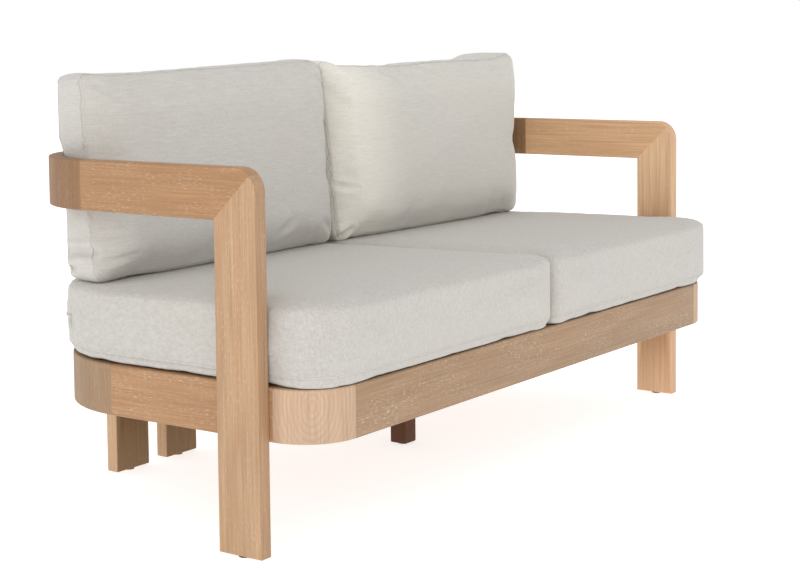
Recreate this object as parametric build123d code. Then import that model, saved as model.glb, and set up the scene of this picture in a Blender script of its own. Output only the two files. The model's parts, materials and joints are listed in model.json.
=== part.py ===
from build123d import *
import math
import os

# A two-seat outdoor sofa in solid teak: a low base ring with round corners, an upper ring
# that makes the arms and the back rail, flat posts in front, flat boards behind, a slatted
# deck and four loose cushions. Millimetres, +Z up, front towards -Y, origin on the floor
# under the middle of the whole sofa.

os.makedirs("parts", exist_ok=True)

# Wooden frame
overall_width = 1524
frame_height = 640
post_to_back_boards = 590
board_thickness = 28
long_edge_radius = 3

# Front posts and arms
post_width = 90
arm_rail_height = 88
arm_corner_radius = 42
arm_straight_length = 394
top_back_corner_radius = 196

# Base ring
base_rail_height = 90
base_floor_clearance = 190
base_front_overhang = 103
base_front_corner_radius = 97
base_back_corner_radius = 232

# Boards at the back
back_board_width = 90
outer_back_leg_offset = 447
inner_back_leg_offset = 307
back_slat_spacing = 149
back_slat_count = 3

# Seat deck
beam_thickness = 28
beam_height = 45
beam_housing_depth = 8
centre_leg_side = 39
centre_leg_front_offset = 3.5
cleat_width = 25
cleat_height = 30
cleat_end_gap = 5
seat_slat_count = 8
seat_slat_width = 60
seat_slat_thickness = 18
seat_slat_end_gap = 2

# Fixings
bolt_diameter = 8
bolt_head_diameter = 18
bolt_head_thickness = 2.5
bolt_socket_width = 5
bolt_socket_depth = 1.8
bolt_engagement = 14
counterbore_depth = 3
insert_diameter = 12
insert_length = 18
bolt_spacing = 44
post_bolt_height = 22
back_bolt_height = 14
leg_bolt_spacing = 18
screw_diameter = 4
screw_head_diameter = 8
screw_head_height = 3
slat_screw_length = 45
cleat_screw_length = 42
cleat_screw_count = 3
dowel_diameter = 10
dowel_length = 50
dowel_end_gap = 1
dowel_edge_distance = 22
mitre_dowel_share = 0.3

# Glides
glide_diameter = 22
glide_height = 3
glide_edge_radius = 1
glide_pin_diameter = 4
glide_pin_length = 15

# Fits
hole_gap = 0.5
glue_gap = 0.05
cloth_gap = 0.4

# Cushions
cover_thickness = 2
seat_cushion_overhang = 15
seat_cushion_height = 141
seat_cushion_fall = 12
seat_cushion_side_gap = 2.5
seat_cushion_back_gap = 3
seat_cushion_front_radius = 110
seat_cushion_back_radius = 187
seat_cushion_inner_radius = 28
back_cushion_width = 714
back_cushion_height = 386
back_cushion_corner_radius = 34
back_cushion_lean = 4
back_cushion_seam_setback = 170
back_cushion_boxing = 92
back_cushion_front_crown = 34
back_cushion_rear_crown = 33
back_cushion_corner_tuck = 30
back_cushion_top_dip = 16
back_cushion_side_dip = 5
cushion_edge_draw_in = 30

# Level slices of a seat cushion: share of its height, share of the edge draw-in
seat_slice_shares = (
    (0, 0.36), (0.05, 0.12), (0.2, 0.02), (0.5, 0), (0.78, 0.05), (0.9, 0.42), (0.965, 1.4), (1, 4))

# Upright slices of a back cushion: shares of the front crown, the boxing and the rear crown that
# give its place behind the front seam, then shares of the edge draw-in and of the corner tuck
back_slice_shares = (
    (-1, 0, 0, 4.2, 0),
    (-0.72, 0, 0, 2, 0),
    (-0.36, 0, 0, 0.7, 0),
    (0, 0, 0, 0, 0),
    (0, 0.5, 0, -0.08, 0.35),
    (0, 1, 0, 0, 1),
    (0, 1, 0.36, 0.7, 1.3),
    (0, 1, 0.72, 2, 1.5),
    (0, 1, 1, 4.2, 1.5),
)

# Places that follow from the sizes above
wood_floor = glide_height
base_bottom = wood_floor + base_floor_clearance
base_top = base_bottom + base_rail_height
arm_top = wood_floor + frame_height
arm_bottom = arm_top - arm_rail_height
half_width = overall_width / 2
base_half_width = half_width - board_thickness
overall_depth = seat_cushion_overhang + base_front_overhang + post_to_back_boards + board_thickness
base_front = -overall_depth / 2 + seat_cushion_overhang
post_front = base_front + base_front_overhang
post_back = post_front + post_width
back_plane = post_front + post_to_back_boards
arm_seam = post_front + arm_straight_length
side_rail_front = base_front + base_front_corner_radius
side_rail_back = back_plane - base_back_corner_radius
top_corner_centre = half_width - top_back_corner_radius
slat_bottom = base_top - seat_slat_thickness
beam_bottom = slat_bottom - beam_height
mid_thickness = board_thickness / 2
cut_overrun = board_thickness
sides = {"left": -1, "right": 1}
back_leg_positions = {
    "1": -outer_back_leg_offset,
    "2": -inner_back_leg_offset,
    "3": inner_back_leg_offset,
    "4": outer_back_leg_offset,
}


def box_between(low, high):
    """A plain box between two corners."""
    size = [high[i] - low[i] for i in range(3)]
    middle = [(high[i] + low[i]) / 2 for i in range(3)]
    return Pos(*middle) * Box(*size)


def board(low, high, axis, free_ends=()):
    """A flat board with rounded long edges; free_ends lists the ends along its length that show."""
    solid = box_between(low, high)
    edges = list(solid.edges().filter_by(axis))
    index = {Axis.X: 0, Axis.Y: 1, Axis.Z: 2}[axis]
    for end in free_ends:
        place = low[index] if end == "low" else high[index]
        edges += [e for e in solid.edges() if all(math.isclose(tuple(v)[index], place) for v in e.vertices())]
    return fillet(edges, long_edge_radius)


def cylinder_from(start, direction, radius, length):
    """A round bar from a point along a direction."""
    return Plane(origin=start, z_dir=direction) * Pos(0, 0, length / 2) * Cylinder(radius, length)


def along(start, direction, distance):
    """The point at a distance from start."""
    return tuple(start[i] + direction[i] * distance for i in range(3))


def quarter_block(centre_x, centre_y, radius, quarter, bottom, height):
    """A curved corner block: a quarter of a ring, with its four long edges rounded."""
    ring = Circle(radius) - Circle(radius - board_thickness)
    sector = Pos(quarter[0] * radius / 2, quarter[1] * radius / 2) * Rectangle(radius, radius)
    solid = Pos(centre_x, centre_y, bottom) * extrude(ring & sector, height)
    curved = solid.edges().filter_by(GeomType.CIRCLE)
    return fillet(curved, long_edge_radius)


def side_board(outline, side):
    """A flat board cut to an outline of (y, z) points and arcs, standing at one side of the frame."""
    face = make_face(Plane.YZ * outline)
    inner = side * base_half_width if side > 0 else -half_width
    return Pos(inner, 0, 0) * extrude(face, board_thickness, dir=(1, 0, 0))


def round_long_edges(solid, joint_planes):
    """Rounds every edge of a side board except those on a joint, given as (point, normal) planes."""
    chosen = []
    for edge in solid.edges():
        middle = edge.position_at(0.5)
        gaps = [abs((middle - Vector(*point)).dot(Vector(*normal))) for point, normal in joint_planes]
        if all(gap > long_edge_radius / 2 for gap in gaps) and abs(edge.tangent_at(0.5).X) < 0.5:
            chosen.append(edge)
    return fillet(chosen, long_edge_radius)


# Bolts that hold the posts, the back boards and the centre leg

def bolt(start, direction):
    """A flat-headed connector bolt whose head lies in a counterbore at start."""
    seat = along(start, direction, counterbore_depth)
    head = cylinder_from(along(seat, direction, -bolt_head_thickness), direction, bolt_head_diameter / 2,
                         bolt_head_thickness)
    grip = board_thickness - counterbore_depth + bolt_engagement
    shank = cylinder_from(seat, direction, bolt_diameter / 2, grip)
    socket_plane = Plane(origin=along(seat, direction, -bolt_head_thickness), z_dir=direction)
    socket = extrude(socket_plane * RegularPolygon(bolt_socket_width / 2, 6), bolt_socket_depth)
    return head + shank - socket


def insert(start, direction):
    """A threaded sleeve in the outer board, from the face between the two boards."""
    face = along(start, direction, board_thickness)
    sleeve = cylinder_from(face, direction, insert_diameter / 2, insert_length)
    bore = cylinder_from(face, direction, bolt_diameter / 2 + glue_gap, insert_length)
    return sleeve - bore


def bolt_hole(start, direction):
    """Counterbore and clearance hole in the inner board, pocket for the insert in the outer one."""
    mouth = along(start, direction, -cut_overrun)
    counterbore = cylinder_from(mouth, direction, bolt_head_diameter / 2 + hole_gap,
                                cut_overrun + counterbore_depth)
    shank = cylinder_from(start, direction, (bolt_diameter + hole_gap) / 2, board_thickness)
    pocket = cylinder_from(along(start, direction, board_thickness), direction,
                           insert_diameter / 2 + glue_gap, insert_length + glue_gap)
    return counterbore + shank + pocket


# Where each bolt goes: the inner face it starts from, and its direction
post_bolt_places = []
for side in sides.values():
    for shift in (-bolt_spacing / 2, bolt_spacing / 2):
        inner_face = side * (base_half_width - board_thickness)
        y = post_front + post_width / 2 + shift
        post_bolt_places.append(((inner_face, y, base_bottom + post_bolt_height), (side, 0, 0)))

back_slat_places = {
    str(i + 1): (i - (back_slat_count - 1) / 2) * back_slat_spacing for i in range(back_slat_count)
}
back_bolt_places = []
for x in [*back_leg_positions.values(), *back_slat_places.values()]:
    for shift in (-bolt_spacing / 2, bolt_spacing / 2):
        for z in (base_bottom + back_bolt_height, (arm_bottom + arm_top) / 2):
            back_bolt_places.append(((x + shift, back_plane - board_thickness, z), (0, 1, 0)))

leg_front = (base_front + back_plane) / 2 + centre_leg_front_offset
leg_middle = leg_front + centre_leg_side / 2
leg_bolt_places = [
    ((-beam_thickness, leg_middle + shift, beam_bottom + beam_height / 2), (1, 0, 0))
    for shift in (-leg_bolt_spacing / 2, leg_bolt_spacing / 2)
]


# Dowels across each seam, as (middle point, direction)

def seam_dowels(x, y, direction, bottom, top):
    """The two dowels of one upright seam."""
    return [((x, y, z), direction) for z in (bottom + dowel_edge_distance, top - dowel_edge_distance)]


base_dowel_places = []
top_dowel_places = []
mitre_dowel_places = []
for side in sides.values():
    for radius, y in (
        (base_front_corner_radius, base_front + mid_thickness),
        (base_back_corner_radius, back_plane - mid_thickness),
    ):
        seam_x = side * (base_half_width - radius)
        base_dowel_places += seam_dowels(seam_x, y, (1, 0, 0), base_bottom, base_top)
    for seam_y in (side_rail_front, side_rail_back):
        rail_x = side * (base_half_width - mid_thickness)
        base_dowel_places += seam_dowels(rail_x, seam_y, (0, 1, 0), base_bottom, base_top)
    arm_x = side * (half_width - mid_thickness)
    top_dowel_places += seam_dowels(arm_x, arm_seam, (0, 1, 0), arm_bottom, arm_top)
    seam_x = side * top_corner_centre
    top_dowel_places += seam_dowels(seam_x, back_plane - mid_thickness, (1, 0, 0), arm_bottom, arm_top)

# The mitre runs from the inside corner of arm and post to the middle of the round outer corner
mitre_inner = (post_back, arm_bottom)
arc_rise = arm_corner_radius * (1 - math.sin(math.pi / 4))
mitre_outer = (post_front + arc_rise, arm_top - arc_rise)
mitre_length = math.dist(mitre_inner, mitre_outer)
mitre_direction = [(mitre_outer[i] - mitre_inner[i]) / mitre_length for i in range(2)]
mitre_normal = (0, mitre_direction[1], -mitre_direction[0])
for side in sides.values():
    for share in (mitre_dowel_share, 1 - mitre_dowel_share):
        y = mitre_inner[0] + mitre_direction[0] * mitre_length * share
        z = mitre_inner[1] + mitre_direction[1] * mitre_length * share
        mitre_dowel_places.append(((side * (half_width - mid_thickness), y, z), mitre_normal))


def dowel(place):
    """One dowel, half in each board."""
    middle, direction = place
    start = along(middle, direction, -dowel_length / 2)
    return cylinder_from(start, direction, dowel_diameter / 2, dowel_length)


def dowel_hole(place):
    """The hole for one dowel, through both boards."""
    middle, direction = place
    length = dowel_length + 2 * dowel_end_gap
    start = along(middle, direction, -length / 2)
    return cylinder_from(start, direction, dowel_diameter / 2 + glue_gap, length)


# Glides

post_middle = post_front + post_width / 2
glide_places = [(side * (half_width - mid_thickness), post_middle) for side in sides.values()]
glide_places += [(x, back_plane + mid_thickness) for x in back_leg_positions.values()]
glide_places.append((centre_leg_side / 2, leg_middle))


def glide(x, y):
    """A nail-in glide: a disc under the leg with a pin up into it."""
    disc = Pos(x, y, glide_height / 2) * Cylinder(glide_diameter / 2, glide_height)
    disc = fillet(disc.edges().group_by(Axis.Z)[0], glide_edge_radius)
    return disc + cylinder_from((x, y, glide_height), (0, 0, 1), glide_pin_diameter / 2, glide_pin_length)


def glide_hole(x, y):
    """The hole for a glide's pin."""
    radius = glide_pin_diameter / 2 + glue_gap
    return cylinder_from((x, y, wood_floor), (0, 0, 1), radius, glide_pin_length + hole_gap)


# Slats, beams and cleats under the seat

def inside_half_width(y):
    """Half the clear width inside the base ring at one depth."""
    straight = base_half_width - board_thickness
    if y < side_rail_front:
        radius = base_front_corner_radius - board_thickness
        depth = side_rail_front - y
        centre = base_half_width - base_front_corner_radius
    elif y > side_rail_back:
        radius = base_back_corner_radius - board_thickness
        depth = y - side_rail_back
        centre = base_half_width - base_back_corner_radius
    else:
        return straight
    return centre + math.sqrt(max(radius**2 - depth**2, 0))


inside_front = base_front + board_thickness
inside_back = back_plane - board_thickness
slat_gap = (inside_back - inside_front - seat_slat_count * seat_slat_width) / (seat_slat_count + 1)
slat_places = []
for i in range(seat_slat_count):
    slat_front = inside_front + slat_gap + i * (seat_slat_width + slat_gap)
    slat_back = slat_front + seat_slat_width
    half_length = min(inside_half_width(slat_front), inside_half_width(slat_back)) - seat_slat_end_gap
    slat_places.append((slat_front, slat_back, half_length))

outer_beam_middle = (back_leg_positions["3"] + back_leg_positions["4"]) / 2
beam_middles = {
    "left": -outer_beam_middle,
    "centre": -beam_thickness / 2,
    "right": outer_beam_middle,
}
beam_front = inside_front - beam_housing_depth
beam_back = inside_back + beam_housing_depth
cleat_front = side_rail_front + cleat_end_gap
cleat_back = side_rail_back - cleat_end_gap
cleat_outer = base_half_width - board_thickness
cleat_inner = cleat_outer - cleat_width


def screw(start, direction, length):
    """A countersunk wood screw, its head flush with the surface at start."""
    head = Plane(origin=start, z_dir=direction) * Pos(0, 0, screw_head_height / 2) * Cone(
        screw_head_diameter / 2, screw_diameter / 2, screw_head_height)
    return head + cylinder_from(start, direction, screw_diameter / 2, length)


def screw_hole(start, direction, length):
    """The hole that one screw leaves in the wood."""
    head = Plane(origin=start, z_dir=direction) * Pos(0, 0, screw_head_height / 2) * Cone(
        screw_head_diameter / 2 + glue_gap, screw_diameter / 2 + glue_gap, screw_head_height)
    return head + cylinder_from(start, direction, screw_diameter / 2 + glue_gap, length + glue_gap)


slat_screw_places = []
for slat_front, slat_back, half_length in slat_places:
    y = (slat_front + slat_back) / 2
    crossings = list(beam_middles.values())
    if slat_front > cleat_front and slat_back < cleat_back:
        crossings += [side * (cleat_inner + cleat_width / 2) for side in sides.values()]
    slat_screw_places += [((x, y, base_top), (0, 0, -1)) for x in crossings]

cleat_screw_places = []
cleat_length = cleat_back - cleat_front
for side in sides.values():
    for i in range(cleat_screw_count):
        y = cleat_front + cleat_length * (i + 0.5) / cleat_screw_count
        cleat_screw_places.append(((side * cleat_inner, y, slat_bottom - cleat_height / 2), (side, 0, 0)))


# Cushions, made on the right and mirrored to the left

def seat_surface(y):
    """Height of the seat cushions' top, which falls a little towards the back."""
    front = base_front - seat_cushion_overhang
    return base_top + cloth_gap + seat_cushion_height - seat_cushion_fall * (y - front) / (back_plane - front)


def foam_core(whole):
    """The foam inside a cushion: the same form, smaller by its cover on every side."""
    box = whole.bounding_box()
    factors = [(size - 2 * cover_thickness) / size for size in tuple(box.size)]
    return scale(whole, by=tuple(factors), about=box.center())


def ring_corner_room(clearance):
    """What the right corner of the upper ring, with a clearance round it, takes from a back cushion."""
    reach = top_back_corner_radius
    corner = Pos(reach / 2, reach / 2) * Rectangle(reach, reach)
    face = corner - Circle(top_back_corner_radius - board_thickness - clearance)
    return Pos(top_corner_centre, arm_seam, base_top) * extrude(face, arm_top + clearance - base_top)


def seat_cushion():
    """The right seat cushion as a loft through level outlines, each a little tilted towards the back."""
    sections = []
    for height_share, inset_share in seat_slice_shares:
        inset = cushion_edge_draw_in * inset_share
        x_low = cloth_gap / 2 + inset
        x_high = base_half_width - seat_cushion_side_gap - inset
        y_low = base_front - seat_cushion_overhang + inset
        y_high = back_plane - seat_cushion_back_gap - inset
        front_z = base_top + cloth_gap + seat_cushion_height * height_share
        fall = seat_cushion_fall * height_share
        slope = math.atan2(fall, y_high - y_low)
        upwards = (0, math.sin(slope), math.cos(slope))
        plane = Plane(origin=(0, y_low, front_z), x_dir=(1, 0, 0), z_dir=upwards)
        depth = (y_high - y_low) / math.cos(slope)
        corners = [(x_low, 0), (x_high, 0), (x_high, depth), (x_low, depth)]
        radii = [seat_cushion_inner_radius, seat_cushion_front_radius, seat_cushion_back_radius,
                 seat_cushion_inner_radius]
        outline = FilletPolyline(*corners, radius=radii, close=True)
        sections.append(make_face(plane * outline))
    return loft(sections, ruled=True)


def pillow_outline(x_low, x_high, z_low, z_high):
    """A closed outline with round corners, a flat bottom, and a top and sides that dip."""
    r = back_cushion_corner_radius
    lean_in = r * (1 - math.sin(math.pi / 4))
    x_mid = (x_low + x_high) / 2
    z_mid = (z_low + z_high) / 2
    side_dip = back_cushion_side_dip
    return Curve() + [
        Line((x_low + r, z_low), (x_high - r, z_low)),
        ThreePointArc((x_high - r, z_low), (x_high - lean_in, z_low + lean_in), (x_high, z_low + r)),
        ThreePointArc((x_high, z_low + r), (x_high - side_dip, z_mid), (x_high, z_high - r)),
        ThreePointArc((x_high, z_high - r), (x_high - lean_in, z_high - lean_in), (x_high - r, z_high)),
        ThreePointArc((x_high - r, z_high), (x_mid, z_high - back_cushion_top_dip), (x_low + r, z_high)),
        ThreePointArc((x_low + r, z_high), (x_low + lean_in, z_high - lean_in), (x_low, z_high - r)),
        ThreePointArc((x_low, z_high - r), (x_low + side_dip, z_mid), (x_low, z_low + r)),
        ThreePointArc((x_low, z_low + r), (x_low + lean_in, z_low + lean_in), (x_low + r, z_low)),
    ]


def back_cushion():
    """The right back cushion as a loft through upright outlines from its front crown to its rear one."""
    lean = math.radians(back_cushion_lean)
    front_seam = back_plane - back_cushion_seam_setback
    sections = []
    for front_share, boxing_share, rear_share, inset_share, tuck_share in back_slice_shares:
        inset = cushion_edge_draw_in * inset_share
        y = (front_seam + back_cushion_front_crown * front_share + back_cushion_boxing * boxing_share
             + back_cushion_rear_crown * rear_share)
        plane = Plane(origin=(0, y, seat_surface(y) + cloth_gap), x_dir=(1, 0, 0),
                      z_dir=(0, -math.cos(lean), math.sin(lean)))
        x_low = cloth_gap / 2 + max(inset, 0)
        x_high = back_cushion_width - inset - back_cushion_corner_tuck * tuck_share
        outline = pillow_outline(x_low, x_high, max(inset, 0), back_cushion_height - inset)
        sections.append(make_face(plane * outline))
    return loft(sections, ruled=True)


# Building every piece

nodes = {}

for name, side in sides.items():
    arm_outline = Curve() + [
        Line(mitre_inner, (arm_seam, arm_bottom)),
        Line((arm_seam, arm_bottom), (arm_seam, arm_top)),
        Line((arm_seam, arm_top), (post_front + arm_corner_radius, arm_top)),
        RadiusArc((post_front + arm_corner_radius, arm_top), mitre_outer, -arm_corner_radius),
        Line(mitre_outer, mitre_inner),
    ]
    post_outline = Curve() + [
        Line(mitre_inner, mitre_outer),
        RadiusArc(mitre_outer, (post_front, arm_top - arm_corner_radius), -arm_corner_radius),
        Line((post_front, arm_top - arm_corner_radius), (post_front, wood_floor)),
        Line((post_front, wood_floor), (post_back, wood_floor)),
        Line((post_back, wood_floor), mitre_inner),
    ]
    mitre_plane = ((0, *mitre_inner), mitre_normal)
    seam_plane = ((0, arm_seam, arm_top), (0, 1, 0))
    nodes[f"{name}_arm_rail"] = round_long_edges(side_board(arm_outline, side), [mitre_plane, seam_plane])
    nodes[f"{name}_front_post"] = round_long_edges(side_board(post_outline, side), [mitre_plane])
    nodes[f"{name}_back_corner"] = quarter_block(
        side * top_corner_centre, arm_seam, top_back_corner_radius, (side, 1), arm_bottom, arm_rail_height)

nodes["back_rail"] = board(
    (-top_corner_centre, back_plane - board_thickness, arm_bottom),
    (top_corner_centre, back_plane, arm_top), Axis.X)

front_straight = base_half_width - base_front_corner_radius
back_straight = base_half_width - base_back_corner_radius
nodes["base_front_rail"] = board(
    (-front_straight, base_front, base_bottom),
    (front_straight, base_front + board_thickness, base_top), Axis.X)
nodes["base_back_rail"] = board(
    (-back_straight, back_plane - board_thickness, base_bottom),
    (back_straight, back_plane, base_top), Axis.X)
for name, side in sides.items():
    outer = side * base_half_width
    inner = side * (base_half_width - board_thickness)
    nodes[f"base_{name}_rail"] = board(
        (min(outer, inner), side_rail_front, base_bottom),
        (max(outer, inner), side_rail_back, base_top), Axis.Y)
    nodes[f"base_front_{name}_corner"] = quarter_block(
        side * front_straight, side_rail_front, base_front_corner_radius, (side, -1),
        base_bottom, base_rail_height)
    nodes[f"base_back_{name}_corner"] = quarter_block(
        side * back_straight, side_rail_back, base_back_corner_radius, (side, 1),
        base_bottom, base_rail_height)

for number, x in back_leg_positions.items():
    nodes[f"back_leg_{number}"] = board(
        (x - back_board_width / 2, back_plane, wood_floor),
        (x + back_board_width / 2, back_plane + board_thickness, arm_top), Axis.Z, ("low", "high"))
for number, x in back_slat_places.items():
    nodes[f"back_slat_{number}"] = board(
        (x - back_board_width / 2, back_plane, base_bottom),
        (x + back_board_width / 2, back_plane + board_thickness, arm_top), Axis.Z, ("low", "high"))

nodes["centre_leg"] = board(
    (0, leg_front, wood_floor),
    (centre_leg_side, leg_front + centre_leg_side, slat_bottom), Axis.Z, ("low",))
for name, x in beam_middles.items():
    nodes[f"{name}_beam"] = box_between(
        (x - beam_thickness / 2, beam_front, beam_bottom), (x + beam_thickness / 2, beam_back, slat_bottom))
for name, side in sides.items():
    ends = sorted((side * cleat_inner, side * cleat_outer))
    nodes[f"{name}_cleat"] = box_between(
        (ends[0], cleat_front, slat_bottom - cleat_height), (ends[1], cleat_back, slat_bottom))
for i, (slat_front, slat_back, half_length) in enumerate(slat_places, 1):
    nodes[f"seat_slat_{i}"] = board(
        (-half_length, slat_front, slat_bottom), (half_length, slat_back, base_top), Axis.X)

nodes["glides"] = Compound(children=[glide(x, y) for x, y in glide_places])
nodes["base_ring_dowels"] = Compound(children=[dowel(place) for place in base_dowel_places])
nodes["top_ring_dowels"] = Compound(children=[dowel(place) for place in top_dowel_places])
nodes["mitre_dowels"] = Compound(children=[dowel(place) for place in mitre_dowel_places])
for name, places in (("post", post_bolt_places), ("back", back_bolt_places), ("leg", leg_bolt_places)):
    nodes[f"{name}_bolts"] = Compound(children=[bolt(*place) for place in places])
    nodes[f"{name}_inserts"] = Compound(children=[insert(*place) for place in places])
nodes["slat_screws"] = Compound(children=[screw(*place, slat_screw_length) for place in slat_screw_places])
nodes["cleat_screws"] = Compound(children=[screw(*place, cleat_screw_length) for place in cleat_screw_places])

# Holes and housings, cut where a fixing meets a board
cuts = [dowel_hole(place) for place in base_dowel_places + top_dowel_places + mitre_dowel_places]
cuts += [bolt_hole(*place) for place in post_bolt_places + back_bolt_places + leg_bolt_places]
cuts += [screw_hole(*place, slat_screw_length) for place in slat_screw_places]
cuts += [screw_hole(*place, cleat_screw_length) for place in cleat_screw_places]
cuts += [glide_hole(x, y) for x, y in glide_places]
housings = [nodes[f"{name}_beam"] for name in beam_middles]
hardware = ("glides", "dowels", "bolts", "inserts", "screws")


def boxes_meet(a, b):
    """True where two bounding boxes overlap."""
    return all(
        tuple(a.min)[i] < tuple(b.max)[i] and tuple(b.min)[i] < tuple(a.max)[i] for i in range(3))


cut_boxes = [cut.bounding_box() for cut in cuts]
for name in list(nodes):
    if name.endswith(hardware):
        continue
    box = nodes[name].bounding_box()
    tools = [cut for cut, cut_box in zip(cuts, cut_boxes) if boxes_meet(box, cut_box)]
    if name in ("base_front_rail", "base_back_rail"):
        tools += housings
    if tools:
        nodes[name] = nodes[name] - tools

right_seat, right_back = seat_cushion(), back_cushion()
right_forms = {
    "seat": (right_seat, foam_core(right_seat)),
    "back": (right_back - ring_corner_room(cloth_gap),
             foam_core(right_back) - ring_corner_room(cloth_gap + cover_thickness)),
}
for kind, (whole, core) in right_forms.items():
    cover = whole - core
    nodes[f"right_{kind}_cover"] = cover
    nodes[f"right_{kind}_core"] = core
    nodes[f"left_{kind}_cover"] = mirror(cover, Plane.YZ)
    nodes[f"left_{kind}_core"] = mirror(core, Plane.YZ)

for name, solid in nodes.items():
    export_step(solid, f"parts/{name}.step")
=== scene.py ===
import json
import math

import bmesh
import bpy
import numpy as np
from mathutils import Matrix, Vector
from mathutils.kdtree import KDTree

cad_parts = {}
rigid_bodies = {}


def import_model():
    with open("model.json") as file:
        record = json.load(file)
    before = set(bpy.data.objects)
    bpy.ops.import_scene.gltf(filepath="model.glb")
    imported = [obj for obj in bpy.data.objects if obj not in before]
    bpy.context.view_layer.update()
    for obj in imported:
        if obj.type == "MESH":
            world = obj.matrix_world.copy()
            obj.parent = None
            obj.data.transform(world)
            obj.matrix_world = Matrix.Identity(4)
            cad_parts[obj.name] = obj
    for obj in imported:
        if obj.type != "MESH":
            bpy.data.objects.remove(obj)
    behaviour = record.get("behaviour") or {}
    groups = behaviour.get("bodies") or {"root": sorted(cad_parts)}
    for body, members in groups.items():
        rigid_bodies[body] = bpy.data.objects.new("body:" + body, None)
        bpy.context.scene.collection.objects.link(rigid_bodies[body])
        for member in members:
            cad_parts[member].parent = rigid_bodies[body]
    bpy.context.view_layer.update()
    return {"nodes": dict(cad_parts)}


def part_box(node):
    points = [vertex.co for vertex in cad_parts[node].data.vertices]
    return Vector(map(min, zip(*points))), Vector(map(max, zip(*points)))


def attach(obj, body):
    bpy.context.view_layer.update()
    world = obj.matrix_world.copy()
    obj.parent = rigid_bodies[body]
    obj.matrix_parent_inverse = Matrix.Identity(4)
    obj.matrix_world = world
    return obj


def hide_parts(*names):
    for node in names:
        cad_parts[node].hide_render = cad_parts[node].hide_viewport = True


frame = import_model()


# The photograph's standpoint
# A long lens in front of the left arm, a little above the back cushions, tilted slightly down. The
# lens is also shifted down, so that the posts stay nearly upright in the picture.
def add_object(name, data):
    """A new object in the scene, at the origin."""
    piece = bpy.data.objects.new(name, data)
    bpy.context.scene.collection.objects.link(piece)
    return piece


camera_place = (-2.8147, -1.9858, 0.8598)
camera_heading = math.radians(54.746)
camera_tilt = math.radians(4.386)
camera_roll = math.radians(-0.583)
camera = add_object("camera", bpy.data.cameras.new("camera"))
camera.data.sensor_width = 36
camera.data.lens = 75.78
camera.data.shift_y = -0.165
turned = Matrix.Rotation(-camera_heading, 4, "Z")
tilted = Matrix.Rotation(math.pi / 2 - camera_tilt, 4, "X")
rolled = Matrix.Rotation(camera_roll, 4, "Z")
camera.matrix_world = Matrix.Translation(camera_place) @ (turned @ tilted) @ rolled
bpy.context.scene.camera = camera


# Studio floor and soft light
# A pale floor under a white sky that is dimmer overhead, and one broad, slightly warm soft box far
# off at the left front, so that faces towards it are the brightest and tops are a little darker.
def linear(hex_colour):
    """An sRGB hex colour as the linear numbers that a shader takes."""
    channels = [int(hex_colour[i:i + 2], 16) / 255 for i in (1, 3, 5)]
    return [c / 12.92 if c <= 0.04045 else ((c + 0.055) / 1.055) ** 2.4 for c in channels] + [1]


def add_node(tree, kind, inputs=None, **settings):
    """Adds one node with its settings; an input takes a value, or a socket to link from."""
    node = tree.nodes.new(kind)
    for name, value in settings.items():
        setattr(node, name, value)
    for name, value in (inputs or {}).items():
        if isinstance(value, bpy.types.NodeSocket):
            tree.links.new(value, node.inputs[name])
        else:
            node.inputs[name].default_value = value
    return node


def new_material(name):
    """An empty node material with its output; returns the material, its tree and the output."""
    material = bpy.data.materials.new(name)
    material.use_nodes = True
    tree = material.node_tree
    tree.nodes.clear()
    return material, tree, add_node(tree, "ShaderNodeOutputMaterial")


floor_size = 40
floor_glow = 0.74
floor_corners = [(-1, -1, 0), (1, -1, 0), (1, 1, 0), (-1, 1, 0)]
floor_mesh = bpy.data.meshes.new("floor")
floor_mesh.from_pydata(floor_corners, [], [(0, 1, 2, 3)])
floor_mesh.transform(Matrix.Scale(floor_size / 2, 4))
floor = add_object("floor", floor_mesh)
# Matt white paint that glows a little, so that the floor stays white under the seat
floor_paint, tree, output = new_material("white_studio_floor")
matt = add_node(tree, "ShaderNodeBsdfDiffuse", {"Color": linear("#CDCDCD")})
glow = add_node(tree, "ShaderNodeEmission", {"Color": linear("#FFFFFF"), "Strength": floor_glow})
both = add_node(tree, "ShaderNodeAddShader", {0: matt.outputs[0], 1: glow.outputs[0]})
tree.links.new(both.outputs[0], output.inputs["Surface"])
floor_mesh.materials.append(floor_paint)

sky_near_horizon, sky_overhead = 1.0, 0.9
world = bpy.data.worlds.new("studio")
world.use_nodes = True
tree = world.node_tree
direction = add_node(tree, "ShaderNodeTexCoord").outputs["Generated"]
height = add_node(tree, "ShaderNodeSeparateXYZ", {0: direction}).outputs["Z"]
strength = add_node(tree, "ShaderNodeMapRange", {
    "Value": height, "From Min": 0.15, "From Max": 0.9,
    "To Min": sky_near_horizon, "To Max": sky_overhead}).outputs[0]
tree.links.new(strength, tree.nodes["Background"].inputs["Strength"])
tree.nodes["Background"].inputs["Color"].default_value = linear("#FFFFFF")
bpy.context.scene.world = world
bpy.context.scene.view_settings.view_transform = "Standard"

soft_box_place = Vector((-7.4, -4.2, 3.0))
soft_box_aim = Vector((0, 0, 0.4))
light = bpy.data.lights.new("left_soft_box", "AREA")
light.size = 5.0
light.energy = 115
light.color = linear("#FFF3E2")[:3]
soft_box = add_object("left_soft_box", light)
faced = (soft_box_place - soft_box_aim).to_track_quat("Z", "Y").to_matrix().to_4x4()
soft_box.matrix_world = Matrix.Translation(soft_box_place) @ faced


# Upper ring: arms, posts, round back corners and back rail
# Solid teak boards 28 mm thick, brushed and limed, so that white filler stays in the open pores.
# The posts meet the arms in a mitre, and bent blocks cut from thick stock turn the back corners.
sharp_from = math.radians(28)
along_x = (0, 0, 0)
along_y = (0, 0, -math.pi / 2)
along_z = (0, math.pi / 2, 0)
# A wave texture's bands lie this far apart in metres at a scale of 1
wave_gap = 0.314
# Each board takes its own stretch of the pattern, this far from the last
board_step = 0.731


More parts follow.
